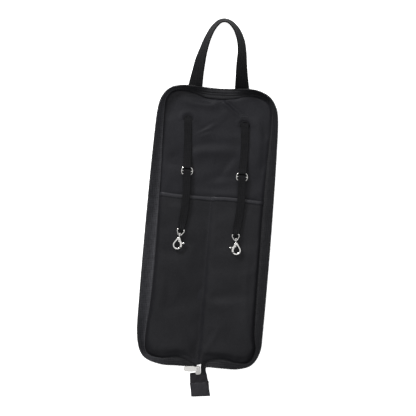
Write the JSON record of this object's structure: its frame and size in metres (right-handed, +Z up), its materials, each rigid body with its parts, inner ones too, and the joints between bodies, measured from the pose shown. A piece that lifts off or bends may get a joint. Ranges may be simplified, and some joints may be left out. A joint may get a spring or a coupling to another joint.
{
  "type": "drum stick bag",
  "caption": "Padded zip-round drum stick bag laid open like a book, with two inner pockets, a webbing handle and adjustable straps ending in swivel clasps.",
  "frame": {"origin": "middle of the bag's overall length and width, on the underside it lies on", "axes": "+X across the two open covers, +Y along the bag towards the carrying handle, +Z up out of the lining"},
  "size_m": [0.207, 0.618, 0.024],
  "materials": {
    "shell_fabric": "matte",
    "foam": "matte",
    "lining_fabric": "satin",
    "zipper_tape": "matte",
    "zipper_coil": "satin",
    "binding": "matte",
    "hem_band": "satin",
    "handle_webbing": "matte",
    "strap_webbing": "matte",
    "end_cap_fabric": "matte",
    "bright_metal": "polished"
  },
  "bodies": {
    "spine": {"spine_outer_shell": "shell_fabric", "spine_foam_pad": "foam", "spine_lining": "lining_fabric", "spine_pocket_sheet": "lining_fabric", "spine_pocket_hem": "hem_band", "pocket_divider_seam": "lining_fabric", "top_end_tape": "zipper_tape", "bottom_end_tape": "zipper_tape", "tail_coil": "zipper_coil", "left_tail_tape": "zipper_tape", "right_tail_tape": "zipper_tape", "tail_end_cap": "end_cap_fabric"},
    "slider": {"zipper_slider": "bright_metal"},
    "pull": {"slider_pull": "bright_metal"},
    "handle": {"handle_loop": "handle_webbing"},
    "left_cover": {"left_outer_shell": "shell_fabric", "left_foam_pad": "foam", "left_lining": "lining_fabric", "left_zipper_tape": "zipper_tape", "left_zipper_coil": "zipper_coil", "left_seam_binding": "binding", "left_pocket_sheet": "lining_fabric", "left_pocket_hem": "hem_band", "left_handle_leg": "handle_webbing", "left_strap_anchor": "strap_webbing"},
    "left_strap": {"left_strap_upper_webbing": "strap_webbing"},
    "left_adjuster": {"left_strap_adjuster": "bright_metal", "left_strap_adjuster_webbing": "strap_webbing"},
    "left_strap_end": {"left_strap_lower_webbing": "strap_webbing"},
    "left_clasp_loop": {"left_clasp_loop": "bright_metal"},
    "left_clasp_hook": {"left_clasp_hook": "bright_metal"},
    "left_clasp_gate": {"left_clasp_gate": "bright_metal"},
    "right_cover": {"right_outer_shell": "shell_fabric", "right_foam_pad": "foam", "right_lining": "lining_fabric", "right_zipper_tape": "zipper_tape", "right_zipper_coil": "zipper_coil", "right_seam_binding": "binding", "right_pocket_sheet": "lining_fabric", "right_pocket_hem": "hem_band", "right_handle_leg": "handle_webbing", "right_strap_anchor": "strap_webbing"},
    "right_strap": {"right_strap_upper_webbing": "strap_webbing"},
    "right_adjuster": {"right_strap_adjuster": "bright_metal", "right_strap_adjuster_webbing": "strap_webbing"},
    "right_strap_end": {"right_strap_lower_webbing": "strap_webbing"},
    "right_clasp_loop": {"right_clasp_loop": "bright_metal"},
    "right_clasp_hook": {"right_clasp_hook": "bright_metal"},
    "right_clasp_gate": {"right_clasp_gate": "bright_metal"}
  },
  "joints": [
    {"name": "left_cover_fold", "type": "hinge", "parent": "spine", "child": "left_cover", "pos_m": [-0.01755, 0, 0.00225], "axis": [0, 1, 0], "range_deg": [0, 90]},
    {"name": "right_cover_fold", "type": "hinge", "parent": "spine", "child": "right_cover", "pos_m": [0.01755, 0, 0.00225], "axis": [0, -1, 0], "range_deg": [0, 90]},
    {"name": "handle_fold", "type": "hinge", "parent": "spine", "child": "handle", "pos_m": [0, 0.237, 0.0006], "axis": [-1, 0, 0], "range_deg": [-108, 0]},
    {"name": "slider_run", "type": "slide", "parent": "spine", "child": "slider", "axis": [0.1908, -0.9816, 0], "range_m": [0, 0.012], "deforming": ["tail_coil", "left_tail_tape", "right_tail_tape"]},
    {"name": "pull_turn", "type": "hinge", "parent": "slider", "child": "pull", "pos_m": [0.0024, -0.26365, 0.0064], "axis": [0, 0, 1], "range_deg": [0, 180]},
    {"name": "left_strap_swing", "type": "hinge", "parent": "left_cover", "child": "left_strap", "pos_m": [-0.047, 0.14, 0.00585], "axis": [1, 0, 0], "range_deg": [-150, 0], "deforming": ["left_strap_upper_webbing", "left_strap_adjuster_webbing", "left_strap_lower_webbing"]},
    {"name": "left_adjuster_slide", "type": "slide", "parent": "left_strap", "child": "left_adjuster", "axis": [-0.0639, 0.998, 0], "range_m": [0, 0.06], "deforming": ["left_strap_upper_webbing", "left_strap_adjuster_webbing", "left_strap_lower_webbing"]},
    {"name": "left_strap_take_up", "type": "slide", "parent": "left_adjuster", "child": "left_strap_end", "axis": [-0.0188, -0.9998, 0], "range_m": [0, 0.03], "deforming": ["left_strap_upper_webbing", "left_strap_adjuster_webbing", "left_strap_lower_webbing"]},
    {"name": "left_clasp_lift", "type": "hinge", "parent": "left_strap_end", "child": "left_clasp_loop", "pos_m": [-0.0434, -0.04, 0.0142], "axis": [0.9877, -0.1564, 0], "range_deg": [-95, 0], "deforming": ["left_strap_upper_webbing", "left_strap_adjuster_webbing", "left_strap_lower_webbing"]},
    {"name": "left_clasp_swivel", "type": "hinge", "parent": "left_clasp_loop", "child": "left_clasp_hook", "pos_m": [-0.0434, -0.04, 0.0142], "axis": [-0.1564, -0.9877, 0], "range_deg": [-6, 6]},
    {"name": "left_gate_open", "type": "hinge", "parent": "left_clasp_hook", "child": "left_clasp_gate", "pos_m": [-0.04442, -0.05665, 0.0142], "axis": [0, 0, -1], "range_deg": [0, 18], "stiffness_Nm_per_rad": 0.01},
    {"name": "right_strap_swing", "type": "hinge", "parent": "right_cover", "child": "right_strap", "pos_m": [0.0458, 0.138, 0.00585], "axis": [1, 0, 0], "range_deg": [-150, 0], "deforming": ["right_strap_upper_webbing", "right_strap_adjuster_webbing", "right_strap_lower_webbing"]},
    {"name": "right_adjuster_slide", "type": "slide", "parent": "right_strap", "child": "right_adjuster", "axis": [-0.0272, 0.9996, 0], "range_m": [0, 0.06], "deforming": ["right_strap_upper_webbing", "right_strap_adjuster_webbing", "right_strap_lower_webbing"]},
    {"name": "right_strap_take_up", "type": "slide", "parent": "right_adjuster", "child": "right_strap_end", "axis": [-0.0265, -0.9996, 0], "range_m": [0, 0.03], "deforming": ["right_strap_upper_webbing", "right_strap_adjuster_webbing", "right_strap_lower_webbing"]},
    {"name": "right_clasp_lift", "type": "hinge", "parent": "right_strap_end", "child": "right_clasp_loop", "pos_m": [0.0456, -0.041, 0.0142], "axis": [0.9914, 0.1305, 0], "range_deg": [-95, 0], "deforming": ["right_strap_upper_webbing", "right_strap_adjuster_webbing", "right_strap_lower_webbing"]},
    {"name": "right_clasp_swivel", "type": "hinge", "parent": "right_clasp_loop", "child": "right_clasp_hook", "pos_m": [0.0456, -0.041, 0.0142], "axis": [0.1305, -0.9914, 0], "range_deg": [-6, 6]},
    {"name": "right_gate_open", "type": "hinge", "parent": "right_clasp_hook", "child": "right_clasp_gate", "pos_m": [0.04618, -0.05767, 0.0142], "axis": [0, 0, 1], "range_deg": [0, 18], "stiffness_Nm_per_rad": 0.01}
  ],
  "couplings": [
    {"joint": "left_strap_take_up", "follows": "left_adjuster_slide", "ratio": 0.5},
    {"joint": "right_strap_take_up", "follows": "right_adjuster_slide", "ratio": 0.5}
  ]
}
